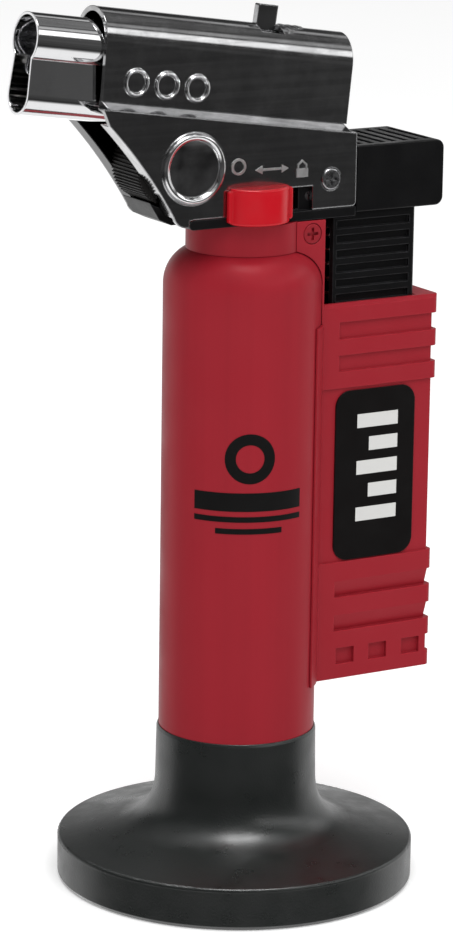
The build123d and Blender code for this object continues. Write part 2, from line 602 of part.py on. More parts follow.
def make_valve_rocker():
    half = 0.8
    arm = make_face(Polyline((-2.9, 128.0), (6.5, 127.7), (ROCKER_X, 126.9), (12.4, 127.7), (13.4, 128.2),
                             (13.2, 129.1), (ROCKER_X, 129.9), (6.5, 129.2), (-2.9, 128.95), close=True))
    body = sideways(arm, -half, half)
    fork = block(-2.9, 2.6, -2.4, 2.4, 128.0, 128.95)
    body = body - block(-4, 2.55, -4, 4, 127, 130) + fork
    body -= post(0, 0, 127, 130, 1.6)
    body -= block(-4, 0, -1.6, 1.6, 127, 130)
    body -= cross_post(ROCKER_X, ROCKER_Z, -3, 3, 0.75 + RUN)
    save("valve_rocker", body)
    save("rocker_pin", cross_post(ROCKER_X, ROCKER_Z, -7.5, 7.5, 0.75))


# ---------------------------------------------------------------- thumb button and igniter
def make_button():
    body = block(BUTTON_X0, BUTTON_X1, -BUTTON_HALF_W, BUTTON_HALF_W, BUTTON_Z0, BUTTON_Z1)
    body = fillet(body.edges().filter_by(Axis.Y).group_by(Axis.X)[-1], 1.6)
    body = fillet(body.edges().filter_by(Axis.Z), 0.3)
    reach = BUTTON_HALF_W - BUTTON_GROOVE_END
    for k in range(BUTTON_GROOVES):
        x = BUTTON_GROOVE_X0 + BUTTON_GROOVE_PITCH * k
        half = BUTTON_GROOVE_W / 2
        body -= block(x - half, x + half, -reach, reach, BUTTON_Z1 - 0.6, BUTTON_Z1 + 1)
    body -= block(BUTTON_X0 + 1.2, BUTTON_X1 - 1.2, -BUTTON_HALF_W + 1.2, BUTTON_HALF_W - 1.2,
                  BUTTON_Z0 + 1.5, BUTTON_Z1 - 2.0)
    save("thumb_button", body)

    stem = block(STEM_X0, STEM_X1, -STEM_HALF_W, STEM_HALF_W, STEM_BOTTOM_Z, CHASSIS_Z - 0.4)
    stem += block(BUTTON_X0 + 0.1, STEM_X1, -STEM_HALF_W, STEM_HALF_W, STEM_CAP_Z, BUTTON_Z0 - 0.02)
    stem = fillet(stem.edges().filter_by(Axis.Z).group_by(Axis.X)[-1], 0.8)
    core_half_w = STEM_HALF_W - 1.25
    stem -= block(STEM_X0 - 1, STEM_X1 - 1.3, -core_half_w, core_half_w, STEM_BOTTOM_Z - 1, STEM_CAP_Z)
    for k in range(STEM_GROOVES):
        z = CHASSIS_Z - 0.98 - STEM_PITCH * k
        for side in (-1, 1):
            low, high = sorted((side * (STEM_HALF_W - 0.7), side * (STEM_HALF_W + 1)))
            stem -= block(STEM_X0 + 0.7, STEM_X1 - 1.4, low, high, z - STEM_GROOVE_H, z)
    finger = block(FINGER_X0, FINGER_X1, -0.8, 0.8, STEM_CAP_Z, 130.2)
    bridge = block(FINGER_X0, STEM_X0 + 1.0, -0.8, 0.8, STEM_CAP_Z, CHASSIS_Z - 0.4)
    stem -= block(STEM_X0 - 1, LEAD_NOTCH_X1, 0.85, 2.9, STEM_CAP_Z - 1, CHASSIS_Z)
    save("trigger_stem", stem + finger + bridge)

    save("return_spring", coil(SPRING_X, 0, SPRING_SEAT_Z + 0.1, STEM_CAP_Z - 0.05, 2.2, 0.32, 8))

    piezo = post(PIEZO_X, 0, 60.0, 100.0, PIEZO_R) - post(PIEZO_X, 0, 86.0, 101, 2.3 + RUN)
    save("piezo_body", piezo)
    save("piezo_plunger", post(PIEZO_X, 0, 96.0, STEM_CAP_Z - 0.05, 2.3))


# ---------------------------------------------------------------- grip
def make_grip_half(side, name):
    """One moulded half of the grip; side -1 is the near half, +1 the far half."""
    deep_x = GRIP_REAR_X - GRIP_GROOVE
    face = -GRIP_HALF_W
    core = make_face(Polyline((5.0, GRIP_BOTTOM_Z), (GRIP_REAR_X, GRIP_BOTTOM_Z), (GRIP_REAR_X, GRIP_TOP_Z),
                              (PANEL_REAR_X, GRIP_TOP_Z), (PANEL_REAR_X, PANEL_TOP_Z), (5.0, PANEL_TOP_Z),
                              close=True))
    body = sideways(core, face, 0)
    corner = body.edges().filter_by(Axis.Z).group_by(Axis.X)[-1].sort_by(Axis.Y)[0]
    body = fillet(corner, 1.3)
    # gaps between the ribs, wrapping from the rear on to the face
    gaps = [(RIBS_UPPER[0][1], GAP_TOP_Z), (RIBS_UPPER[1][1], RIBS_UPPER[0][0]),
            (RIBS_LOWER[1][1], RIBS_LOWER[0][0]), (RIBS_LOWER[2][1], RIBS_LOWER[1][0]),
            (RIBS_LOWER[3][1], RIBS_LOWER[2][0])]
    for z0, z1 in gaps:
        body -= block(deep_x, GRIP_REAR_X + 1, face - 1, 0, z0, z1)
    for z0, z1 in gaps[:2]:
        body -= block(GROOVE_X0, GRIP_REAR_X + 1, face - 1, face + 0.6, z0, z1)
    for z0, z1 in gaps[2:4]:
        wedge = make_face(Polyline((face + 1.0, z0), (face - 0.01, z1), (face - 1, z1),
                                   (face - 1, z0), close=True))
        plane = Plane(origin=(GROOVE_X0, 0, 0), x_dir=(0, 1, 0), z_dir=(1, 0, 0))
        body -= extrude(plane * wedge, amount=GRIP_REAR_X)
    for x0 in POCKETS_X:
        body -= block(x0, x0 + POCKET_W, face - 1, face + 0.8, RIBS_LOWER[3][1], RIBS_LOWER[2][0] - 0.2)
    # recessed label panel
    body -= block(deep_x, GRIP_REAR_X + 1, face - 1, 0, RIBS_LOWER[0][1], RIBS_UPPER[1][0])
    body -= block(12, GRIP_REAR_X + 1, face - 1, face + 0.45, RIBS_LOWER[0][1], RIBS_UPPER[1][0])
    # hollow inside
    wall = GRIP_WALL
    body -= block(0, deep_x - wall - 0.2, face + wall + 0.4, 1, GRIP_BOTTOM_Z + wall, RIBS_UPPER[1][0])
    body -= block(0, STEM_X1 + 0.35, -STEM_HALF_W - 0.12, 1, 87.5, GRIP_TOP_Z + 1)
    body -= block(0, PANEL_REAR_X + 1, -STEM_HALF_W + 0.1, 1, 100, PANEL_TOP_Z + 1)
    # the tank, its shoulder and the collar pass in front
    body -= post(0, 0, 0, SHOULDER_Z + 0.2, TANK_R + 0.08)
    shoulder = make_face([
        Line((0, SHOULDER_Z), (TANK_R + 0.08, SHOULDER_Z)),
        ThreePointArc((TANK_R + 0.08, SHOULDER_Z), (13.35, 116.15), (COLLAR_R - 0.2, COLLAR_Z + 0.15)),
        Line((COLLAR_R - 0.2, COLLAR_Z + 0.15), (0, COLLAR_Z + 0.15)),
        Line((0, COLLAR_Z + 0.15), (0, SHOULDER_Z)),
    ])
    body -= revolve(Plane.XZ * shoulder, axis=Axis.Z)
    body -= post(0, 0, COLLAR_Z - 1, PANEL_TOP_Z + 1, COLLAR_R + 0.08)
    # thin lip that hugs the tank in front of the near face
    lip = Circle(TANK_R + SADDLE_T) - Circle(TANK_R + 0.08)
    wedge = make_face(Polyline((0, 0), (24, -17.5), (18, -23.9), close=True))
    body += Pos(0, 0, GRIP_BOTTOM_Z) * extrude(lip & wedge, amount=GAP_TOP_Z - GRIP_BOTTOM_Z)
    # spring ledge and igniter cradle
    body += block(16.6, 21.3, -3.1, 0, SPRING_SEAT_Z - 1.5, SPRING_SEAT_Z)
    body += block(18.1, 19.1, -1.2, 0, 61.0, 97.0)
    body += block(17.5, 31.0, face + wall + 0.2, 0, 61.0, 64.0) - post(PIEZO_X, 0, 60, 65, PIEZO_R + 0.02)
    for x, z in FAR_SCREWS:
        body += cross_post(x, z, face + wall + 0.2, 0, 2.0) - cross_post(x, z, face, 1, SCREW_HOLE_R)
    # bevelled top rim
    bevel = make_face(Polyline((face - 1, GRIP_TOP_Z - 0.7), (face, GRIP_TOP_Z - 0.7),
                               (face + 0.7, GRIP_TOP_Z), (face + 0.7, GRIP_TOP_Z + 1),
                               (face - 1, GRIP_TOP_Z + 1), close=True))
    plane = Plane(origin=(PANEL_REAR_X + 0.01, 0, 0), x_dir=(0, 1, 0), z_dir=(1, 0, 0))
    body -= extrude(plane * bevel, amount=30)
    if side > 0:
        body = mirrored(body)
        for x, z in FAR_SCREWS:
            body -= cross_post(x, z, GRIP_HALF_W + 1, GRIP_HALF_W - 0.55, GRIP_SCREW_HEAD_R + 0.1)
            body -= cross_post(x, z, GRIP_HALF_W + 1, 0, SCREW_HOLE_R)
    else:
        body -= cross_post(GRIP_SCREW_X, GRIP_SCREW_Z, face - 1, face + 0.55, GRIP_SCREW_HEAD_R + 0.1)
        body -= cross_post(GRIP_SCREW_X, GRIP_SCREW_Z, face - 1, face + 3, SCREW_HOLE_R)
    save(name, body)


def make_grip_screws():
    seat_y = GRIP_HALF_W - 0.55
    screws = [phillips(GRIP_SCREW_X, GRIP_SCREW_Z, -1, GRIP_SCREW_HEAD_R, 0.6, seat_y, SCREW_SHANK_R, 2.3)]
    for x, z in FAR_SCREWS:
        screws.append(phillips(x, z, 1, GRIP_SCREW_HEAD_R, 0.6, seat_y, SCREW_SHANK_R, 11.0))
    save("grip_screws", screws)


def make_label():
    shape = Pos((LABEL_X0 + LABEL_X1) / 2, (LABEL_Z0 + LABEL_Z1) / 2) * RectangleRounded(
        LABEL_X1 - LABEL_X0, LABEL_Z1 - LABEL_Z0, LABEL_CORNER)
    save("grip_label", sideways(shape, -GRIP_HALF_W + 0.15, -GRIP_HALF_W + 0.44))


make_stand()
make_tank()
make_refill_valve()
make_gas_valve()
make_chassis()
make_housing_half(-1, "housing_left")
make_housing_half(1, "housing_right")
make_barrel_cover()
make_housing_screws()
make_burner()
make_gas_tube()
make_ignition_lead()
make_air_sleeve()
make_adjuster_wheel()
make_lock_slider()
make_valve_rocker()
make_button()
make_grip_half(-1, "grip_left")
make_grip_half(1, "grip_right")
make_grip_screws()
make_label()
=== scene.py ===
import math

import bmesh
import bpy
from mathutils import Matrix, Vector


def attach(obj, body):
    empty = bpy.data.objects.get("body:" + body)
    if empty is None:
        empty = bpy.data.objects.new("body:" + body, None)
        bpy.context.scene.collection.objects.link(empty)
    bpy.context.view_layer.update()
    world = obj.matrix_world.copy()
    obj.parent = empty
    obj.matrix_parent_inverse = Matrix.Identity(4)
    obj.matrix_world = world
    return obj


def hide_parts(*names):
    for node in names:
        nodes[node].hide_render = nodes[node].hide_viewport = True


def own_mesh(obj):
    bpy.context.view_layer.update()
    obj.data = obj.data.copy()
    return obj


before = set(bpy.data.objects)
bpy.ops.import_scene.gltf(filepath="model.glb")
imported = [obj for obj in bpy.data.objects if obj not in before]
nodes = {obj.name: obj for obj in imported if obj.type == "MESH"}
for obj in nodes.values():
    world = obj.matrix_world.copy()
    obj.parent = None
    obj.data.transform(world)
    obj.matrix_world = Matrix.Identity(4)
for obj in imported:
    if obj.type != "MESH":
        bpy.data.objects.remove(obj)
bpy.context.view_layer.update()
scene = bpy.context.scene

# Lengths are in millimetres, in the CAD frame: +Z up, the nozzle towards -X, the near side
# towards -Y.
MM = 0.001
AIM = Vector((0, 0, 80 * MM))          # the camera and the lamps point here

TANK_R = 14.4
LABEL_Y = -8.55                        # outer face of the grip's label
PLATE_Y = -8.7                         # outer face of the near housing half
FAR_SHADE_Y = (8.25, 8.6)              # painted shade on the far half's inside before the first, none past the last
BARREL_REAR = (19.1, 150.9)            # X and Z of the barrel's axis at its rear end
BARREL_TILT = math.radians(8.3)
BOSS = (-15.6, 135.2)                  # X and Z of the round boss
BOSS_RIM = (5.8, 0.7)                  # mid radius and half width of its rim
RING_STATIONS = (31.7, 37.9, 44.1)     # embossed rings, forward of the barrel's rear end
RING_DROP = -6.65                      # and below its axis
RING_RIM = (2.15, 0.4)

PRINT_AZIMUTH = -113.5                 # middle of the tank's print, degrees round from +X
MARK_SINK = -0.05                      # prints and marks start this far inside the face they lie on

ALONG_HEAD = (0.01, 1, 1)              # noise scale that draws lines along the head
RIM_COLOUR = (0.95, 0.95, 0.96, 1)     # polished rims


# ---------------------------------------------------------------- camera
def direction(azimuth, elevation):
    """Unit vector; azimuth 0 is -Y and 90 is +X, like the views."""
    a = math.radians(azimuth)
    e = math.radians(elevation)
    return Vector((math.sin(a) * math.cos(e), -math.cos(a) * math.cos(e), math.sin(e)))


def make_camera():
    """Long lens, seen from the nozzle's side and a little above."""
    azimuth = -30.943
    elevation = 13.6
    roll = math.radians(0.869)
    distance = 0.735347
    back = direction(azimuth, elevation)
    level = direction(azimuth + 90, 0)
    upright = back.cross(level)
    right = math.cos(roll) * level + math.sin(roll) * upright
    up = -math.sin(roll) * level + math.cos(roll) * upright
    data = bpy.data.cameras.new("camera")
    data.sensor_fit = "VERTICAL"
    data.sensor_height = 36.0
    data.lens = 153.96
    data.shift_x = -0.0143
    data.shift_y = -0.0174
    data.clip_start = 0.01
    data.clip_end = 60
    camera = bpy.data.objects.new("camera", data)
    scene.collection.objects.link(camera)
    turn = Matrix((right, up, back)).transposed().to_4x4()
    camera.matrix_world = Matrix.Translation(AIM + back * distance) @ turn
    scene.camera = camera


# ---------------------------------------------------------------- node helpers
class Graph:
    """Short calls for building a node tree."""

    def __init__(self, tree):
        self.tree = tree

    def node(self, kind, inputs=None, **settings):
        made = self.tree.nodes.new(kind)
        for key, value in settings.items():
            setattr(made, key, value)
        self.fill(made, inputs or {})
        return made

    def fill(self, node, inputs):
        """Link each input to a socket, or set it to a plain value."""
        for key, value in inputs.items():
            if isinstance(value, bpy.types.NodeSocket):
                self.tree.links.new(value, node.inputs[key])
            else:
                node.inputs[key].default_value = value

    def math(self, operation, a, b=0.0, clamp=False):
        made = self.node("ShaderNodeMath", {0: a, 1: b}, operation=operation, use_clamp=clamp)
        return made.outputs[0]

    def spread(self, value, low, high, out_low, out_high, kind="LINEAR"):
        made = self.node("ShaderNodeMapRange", {"Value": value, "From Min": low, "From Max": high,
                                                "To Min": out_low, "To Max": out_high},
                         interpolation_type=kind)
        return made.outputs["Result"]

    def smooth(self, value, low, high, out_low=0.0, out_high=1.0):
        return self.spread(value, low, high, out_low, out_high, "SMOOTHSTEP")

    def mix(self, factor, a, b):
        made = self.node("ShaderNodeMix", data_type="RGBA")
        self.fill(made, {"Factor": factor, 6: a, 7: b})
        return made.outputs[2]

    def noise(self, coords, scale, detail=2.0, roughness=0.5, stretch=None):
        if stretch:
            mapping = self.node("ShaderNodeMapping", {"Vector": coords, "Scale": stretch})
            coords = mapping.outputs[0]
        made = self.node("ShaderNodeTexNoise", {"Vector": coords, "Scale": scale, "Detail": detail,
                                                "Roughness": roughness})
        return made.outputs["Fac"]

    def bump(self, height, distance_mm, normal=None):
        made = self.node("ShaderNodeBump", {"Height": height, "Distance": distance_mm * MM})
        if normal is not None:
            self.fill(made, {"Normal": normal})
        return made.outputs[0]

    def dot(self, a, b):
        made = self.node("ShaderNodeVectorMath", {0: a, 1: b}, operation="DOT_PRODUCT")
        return made.outputs["Value"]

    def split(self, vector):
        return self.node("ShaderNodeSeparateXYZ", {0: vector}).outputs

    def object_coords(self):
        return self.node("ShaderNodeTexCoord").outputs["Object"]


def rgb(*values):
    """sRGB 0-255 to linear, with alpha."""
    out = []
    for v in values:
        v /= 255
        out.append(v / 12.92 if v <= 0.04045 else ((v + 0.055) / 1.055) ** 2.4)
    return (*out, 1.0)


def scaled(colour, factor):
    return (*(min(c * factor, 1.0) for c in colour[:3]), 1.0)


def new_material(name, kind="ShaderNodeBsdfPrincipled"):
    """Node material with one shader: the material, its graph and the shader."""
    material = bpy.data.materials.new(name)
    material.use_nodes = True
    material.node_tree.nodes.clear()
    graph = Graph(material.node_tree)
    shader = graph.node(kind)
    graph.node("ShaderNodeOutputMaterial", {"Surface": shader.outputs[0]})
    return material, graph, shader


def add_object(name, maker, material):
    """Object in the scene from a bmesh, which is freed."""
    mesh = bpy.data.meshes.new(name)
    maker.to_mesh(mesh)
    maker.free()
    mesh.materials.append(material)
    made = bpy.data.objects.new(name, mesh)
    scene.collection.objects.link(made)
    return made


# ---------------------------------------------------------------- materials
def rounded_normal(graph, radius, samples=6):
    """Normal that rolls over sharp edges, so that they catch the light."""
    return graph.node("ShaderNodeBevel", {"Radius": radius * MM}, samples=samples).outputs[0]


def edge_mask(graph, radius):
    """1 along sharp edges, 0 on flats."""
    flat = graph.node("ShaderNodeNewGeometry").outputs["Normal"]
    agree = graph.dot(rounded_normal(graph, radius, samples=4), flat)
    return graph.smooth(graph.math("SUBTRACT", 1.0, agree), 0.02, 0.25)


def plastic(name, colour, rough=0.45, grain=0.03, grain_scale=3200, specular=0.35, mottle=0.12,
            edge_highlight=0.0, edge_highlight_gain=1.0, edge=0.2):
    """Moulded plastic: fine grain, faint cloudiness, polished and scuffed patches.

    Edge_highlight is how strongly a highlight is painted along sharp edges, edge_highlight_gain how
    bright it is, edge their radius.
    """
    material, g, shader = new_material(name)
    coords = g.object_coords()
    cloud = g.noise(coords, 90, 4, 0.6)
    shade = g.mix(cloud, scaled(colour, 1 - mottle), scaled(colour, 1 + mottle))
    # Painted highlight: sharp edges are lightened in uneven patches, standing for light caught
    # along them.
    if edge_highlight:
        uneven = g.spread(g.noise(coords, 420, 3), 0.35, 0.7, 0.25, 1.0)
        highlit_edges = g.math("MULTIPLY", edge_mask(g, 0.35), uneven)
        shade = g.mix(g.math("MULTIPLY", highlit_edges, edge_highlight), shade, scaled(colour, edge_highlight_gain))
    patches = g.noise(coords, 160, 5, 0.65)
    fine = g.noise(coords, grain_scale, 2, 0.6)
    g.fill(shader, {
        "Base Color": shade,
        "Roughness": g.spread(patches, 0.3, 0.7, rough - 0.08, rough + 0.08),
        "Specular IOR Level": specular,
        "Normal": g.bump(fine, grain, rounded_normal(g, edge)),
    })
    return material


def paint(name, colour, draw_lines_and_painted_bands=True):
    """Satin lacquer with orange peel under a thin coat; optionally upright draw lines too, with
    wider darker upright bands of painted reflection.
    """
    material, g, shader = new_material(name)
    coords = g.object_coords()
    cloud = g.noise(coords, 55, 3, 0.5)
    shade = g.mix(cloud, scaled(colour, 0.94), scaled(colour, 1.06))
    peel = g.bump(g.noise(coords, 1500, 2), 0.006)
    if draw_lines_and_painted_bands:
        lines = g.noise(coords, 900, 2, 0.5, stretch=(1, 1, 0.012))
        reflection_bands = g.noise(coords, 160, 2, 0.5, stretch=(1, 1, 0.03))
        # Painted reflection: wide darker upright bands stand for streaky reflections on the can.
        shade = g.mix(g.spread(reflection_bands, 0.35, 0.7, 0.0, 0.35), shade, scaled(colour, 0.78))
        shade = g.mix(g.spread(lines, 0.35, 0.75, 0.0, 0.16), shade, scaled(colour, 0.8))
        peel = g.bump(lines, 0.004, peel)
    specks = g.math("GREATER_THAN", g.noise(coords, 2600, 1, 0.4), 0.78)
    g.fill(shader, {
        "Base Color": g.mix(g.math("MULTIPLY", specks, 0.25), shade, scaled(colour, 1.5)),
        "Roughness": g.spread(g.noise(coords, 130, 4), 0.3, 0.7, 0.37, 0.49),
        "Normal": peel,
        "Coat Weight": 0.06,
        "Coat Roughness": 0.25,
        "Specular IOR Level": 0.12,
    })
    return material


def ring_zones(graph, coords, zones):
    """Mask and rounded profile of raised rims; a zone is (x, z, mid radius, half width)."""
    x, _, z = graph.split(coords)
    mask = 0.0
    for centre_x, centre_z, middle, half in zones:
        dx = graph.math("SUBTRACT", x, centre_x * MM)
        dz = graph.math("SUBTRACT", z, centre_z * MM)
        square = graph.math("ADD", graph.math("MULTIPLY", dx, dx), graph.math("MULTIPLY", dz, dz))
        across = graph.math("SQRT", square)
        off = graph.math("ABSOLUTE", graph.math("SUBTRACT", across, middle * MM))
        share = graph.math("SUBTRACT", 1.0, graph.math("DIVIDE", off, half * MM), clamp=True)
        mask = graph.math("MAXIMUM", mask, share)
    slope = graph.math("POWER", graph.math("SUBTRACT", 1.0, mask), 2.0)
    return graph.smooth(mask, 0.0, 0.12), graph.math("SUBTRACT", 1.0, slope)


def chrome(name, base, rough, edge=0.25, zones=(), far_painted_shade=False, streaks=0.0):
    """Plated sheet: slightly wavy, with polishing lines along the head, haze and dull spots.

    Zones are polished rims, far_painted_shade paints shade over the inside of the far housing
    half, and streaks is the strength of dark lines and bright blots.
    """
    material, g, shader = new_material(name)
    coords = g.object_coords()
    haze = g.noise(coords, 140, 5, 0.65)
    lines = g.noise(coords, 2400, 2, 0.5, stretch=ALONG_HEAD)
    stain = g.smooth(g.noise(coords, 60, 5, 0.7), 0.52, 0.75)
    shade = g.mix(g.math("MULTIPLY", stain, 0.35), base, scaled(base, 0.62))
    if streaks:
        long_lines = g.noise(coords, 900, 3, 0.55, stretch=ALONG_HEAD)
        shade = g.mix(g.spread(long_lines, 0.42, 0.6, 0.0, streaks), shade, scaled(base, 0.35))
        blots = g.noise(coords, 170, 5, 0.7)
        shade = g.mix(g.spread(blots, 0.45, 0.65, 0.0, streaks), shade, scaled(base, 1.7))
    wave = g.bump(g.noise(coords, 75, 2, 0.45), 0.05, rounded_normal(g, edge))
    wave = g.bump(lines, 0.0012, wave)
    if zones:
        rim, dome = ring_zones(g, coords, zones)
        shade = g.mix(rim, shade, RIM_COLOUR)
        wave = g.bump(dome, 0.45, wave)
    # Painted shade: inside the far housing half the plating is darkened nearly to black.
    if far_painted_shade:
        inside, outside = FAR_SHADE_Y
        far_shade = g.smooth(g.split(coords)[1], inside * MM, outside * MM, 1.0, 0.0)
        shade = g.mix(far_shade, shade, scaled(base, 0.06))
    level = g.spread(haze, 0.3, 0.7, rough * 0.6, rough * 1.5)
    level = g.math("ADD", level, g.spread(lines, 0.45, 0.8, 0.0, 0.05))
    g.fill(shader, {
        "Base Color": shade,
        "Metallic": 1.0,
        "Roughness": g.math("ADD", level, g.math("MULTIPLY", stain, 0.06)),
        "Normal": wave,
    })
    return material


def metal(name, base, rough=0.28, tarnish=0.3):
    """Machined metal with a fine tool grain and light tarnish."""
    material, g, shader = new_material(name)
    coords = g.object_coords()
    lines = g.noise(coords, 1800, 3, 0.6)
    spots = g.smooth(g.noise(coords, 240, 5, 0.7), 0.5, 0.72)
    g.fill(shader, {
        "Base Color": g.mix(g.math("MULTIPLY", spots, tarnish), base, scaled(base, 0.45)),
        "Metallic": 1.0,
        "Roughness": g.spread(lines, 0.3, 0.75, rough - 0.08, rough + 0.12),
        "Normal": g.bump(lines, 0.006),
    })
    return material


def rubber(name, colour):
    """Matt rubber with dust in patches."""
    material, g, shader = new_material(name)
    coords = g.object_coords()
    dust = g.smooth(g.noise(coords, 380, 6, 0.7), 0.5, 0.8)
    g.fill(shader, {
        "Base Color": g.mix(g.math("MULTIPLY", dust, 0.4), colour, scaled(colour, 2.2)),
        "Roughness": g.spread(dust, 0, 1, 0.7, 0.95),
        "Normal": g.bump(g.noise(coords, 2600, 3), 0.03),
        "Specular IOR Level": 0.25,
    })
    return material


def assign(material, *names):
    """Put one material in every slot of these CAD nodes."""
    for name in names:
        data = nodes[name].data
        if not data.materials:
            data.materials.append(material)
        for index in range(len(data.materials)):
            data.materials[index] = material


# ---------------------------------------------------------------- stage and light
def make_reflection_room():
    """The studio as shiny parts see it: dark flags, strip boxes and a pale floor.

    Only reflections see it.
    """
    material, g, glow = new_material("room_light", "ShaderNodeEmission")
    unit = g.node("ShaderNodeVectorMath", {0: g.object_coords()}, operation="NORMALIZE").outputs[0]
    angle = g.math("MULTIPLY", g.math("ARCSINE", g.split(unit)[2]), 180 / math.pi)

    def band(low, high, soft):
        """Between two elevations, in degrees."""
        inner = g.smooth(angle, low - soft, low + soft)
        outer = g.smooth(angle, high - soft, high + soft, 1.0, 0.0)
        return g.math("MULTIPLY", inner, outer)

    def sector(azimuth, half, soft):
        """Within so many degrees of an azimuth."""
        outer = math.cos(math.radians(half + soft))
        inner = math.cos(math.radians(half - soft))
        return g.smooth(g.dot(unit, direction(azimuth, 0)), outer, inner)

    parts = [
        (g.smooth(angle, -34, -22, 1.0, 0.0), 0.85),                         # floor close by
        (g.math("MULTIPLY", band(-34, 14, 6), sector(150, 78, 12)), 0.85),   # pale wall behind
        (g.math("MULTIPLY", band(21, 36, 2.5), sector(55, 62, 8)), 1.6),     # strip box
        (band(-6, 18, 4), 0.03),                                             # glow at eye level
        (band(40, 47, 1.5), 0.45),                                           # bands overhead
        (band(50, 56, 1.2), 0.12),
        (band(58, 66, 1.2), 1.2),
        (band(69, 92, 1.5), 0.8),                                            # ceiling
        (g.smooth(g.dot(unit, direction(-12, 76)), 0.965, 0.99), 13.0),      # key box
    ]
    total = g.spread(g.noise(unit, 5.0, 4, 0.6), 0.35, 0.65, 0.012, 0.075)   # dim patches
    for mask, strength in parts:
        total = g.math("ADD", total, g.math("MULTIPLY", mask, strength))
    g.fill(glow, {"Strength": total})

    maker = bmesh.new()
    bmesh.ops.create_icosphere(maker, subdivisions=4, radius=3.0)
    bmesh.ops.reverse_faces(maker, faces=maker.faces)
    room = add_object("reflection_room", maker, material)
    room.visible_camera = False
    room.visible_diffuse = False
    room.visible_shadow = False
    room.visible_transmission = False


def make_floor():
    """Pale floor; in reflections the room's own floor stands for it."""
    material, g, shader = new_material("pale_floor")
    cloud = g.noise(g.object_coords(), 6, 3, 0.5)
    g.fill(shader, {
        "Base Color": g.mix(cloud, (0.90, 0.90, 0.90, 1), (0.93, 0.93, 0.93, 1)),
        "Roughness": 0.9,
        "Specular IOR Level": 0.0,
        "Emission Color": (1, 1, 1, 1),
        "Emission Strength": 0.22,
    })
    maker = bmesh.new()
    bmesh.ops.create_circle(maker, cap_ends=True, segments=96, radius=5.0)
    floor = add_object("floor", maker, material)
    floor.visible_glossy = False


def make_lamp(name, size, power, way, distance):
    """Soft box that lights surfaces and does not show in reflections."""
    data = bpy.data.lights.new(name, "AREA")
    data.shape = "RECTANGLE"
    data.size, data.size_y = size
    data.energy = power
    lamp = bpy.data.objects.new(name, data)
    scene.collection.objects.link(lamp)
    lamp.location = AIM + way * distance
    lamp.rotation_euler = (AIM - lamp.location).to_track_quat("-Z", "Y").to_euler()
    lamp.visible_glossy = False


def make_lights():
    make_lamp("key_box", size=(0.9, 0.9), power=9.0, way=direction(-25, 58), distance=1.2)
    make_lamp("side_box", size=(0.5, 1.0), power=2.5, way=direction(70, 20), distance=1.3)
    world = bpy.data.worlds.new("studio")
    scene.world = world
    world.use_nodes = True
    background = world.node_tree.nodes["Background"]
    background.inputs["Color"].default_value = (1, 1, 1, 1)
    background.inputs["Strength"].default_value = 0.70
    world.cycles_visibility.glossy = False


# ---------------------------------------------------------------- prints and embossed marks
def head_point(s, n):
    """X and Z of a station s forward of the barrel's rear end and n above its axis."""
    rear_x, rear_z = BARREL_REAR
    ahead, rise = math.cos(BARREL_TILT), math.sin(BARREL_TILT)
    return rear_x - ahead * s + rise * n, rear_z + rise * s + ahead * n


def strip_faces(maker, inner, outer, place, low, high, closed):
    """Closed thin solid between two rows of (a, b) points, from depth low to lift high."""
    rows = [[maker.verts.new(place(a, b, lift)) for a, b in row]
            for row, lift in ((inner, low), (outer, low), (outer, high), (inner, high))]
    count = len(inner)
    for k in range(count if closed else count - 1):
        following = (k + 1) % count
        for one, two in zip(rows, rows[1:] + rows[:1]):
            maker.faces.new((one[k], one[following], two[following], two[k]))
    if not closed:
        maker.faces.new([row[0] for row in rows])
        maker.faces.new([row[-1] for row in rows])


def ring(a, b, outer, inner, squeeze=1.0, count=48):
    """Two circles as rows of points; squeeze converts millimetres to the units of a."""
    turns = [2 * math.pi * k / count for k in range(count)]
    rows = [[(a + squeeze * radius * math.cos(t), b + radius * math.sin(t)) for t in turns]
            for radius in (inner, outer)]
    return (*rows, True)


def bar(a0, a1, b0, b1, count=16):
    """Rectangle as two rows of points."""
    steps = [a0 + (a1 - a0) * k / count for k in range(count + 1)]
    return [(a, b0) for a in steps], [(a, b1) for a in steps], False


def marks(name, shapes, place, height, material):
    """One piece of thin solids that stand height above the face they lie on."""
    maker = bmesh.new()
    for inner, outer, closed in shapes:
        strip_faces(maker, inner, outer, place, MARK_SINK, height, closed)
    bmesh.ops.recalc_face_normals(maker, faces=maker.faces)
    piece = add_object(name, maker, material)
    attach(piece, "torch")


def on_tank(azimuth, z, lift):
    a = math.radians(azimuth)
    r = (TANK_R + lift) * MM
    return Vector((r * math.cos(a), r * math.sin(a), z * MM))


def on_near_face(face_y):
    """Place on a flat face that looks towards -Y."""
    def place(x, z, lift):
        return Vector((x * MM, (face_y - lift) * MM, z * MM))
    return place


def make_tank_print():
    """Generic black print: a plain ring over three bars."""
    per_mm = math.degrees(1 / TANK_R)
    ring_z, ring_outer, ring_inner = 82.6, 4.6, 2.6
    bars = ((10.4, 72.9, 76.3), (10.4, 70.9, 71.9), (6.2, 68.7, 69.7))   # half width, bottom, top
    shapes = [ring(PRINT_AZIMUTH, ring_z, ring_outer, ring_inner, per_mm)]
    for half_width, bottom, top in bars:
        half = half_width * per_mm
        shapes.append(bar(PRINT_AZIMUTH - half, PRINT_AZIMUTH + half, bottom, top, count=40))
    marks("tank_print", shapes, on_tank, 0.07, print_black)


def make_label_print():
    """Five generic light-grey bars of two lengths on the black label."""
    long_x, short_x, end_x = 19.8, 22.4, 28.6
    lowest, pitch, height = 67.0, 4.4, 2.6
    shapes = []
    for k in reversed(range(5)):
        z = lowest + pitch * k
        shapes.append(bar(short_x if k % 2 else long_x, end_x, z, z + height))
    marks("label_print", shapes, on_near_face(LABEL_Y), 0.02, print_grey)


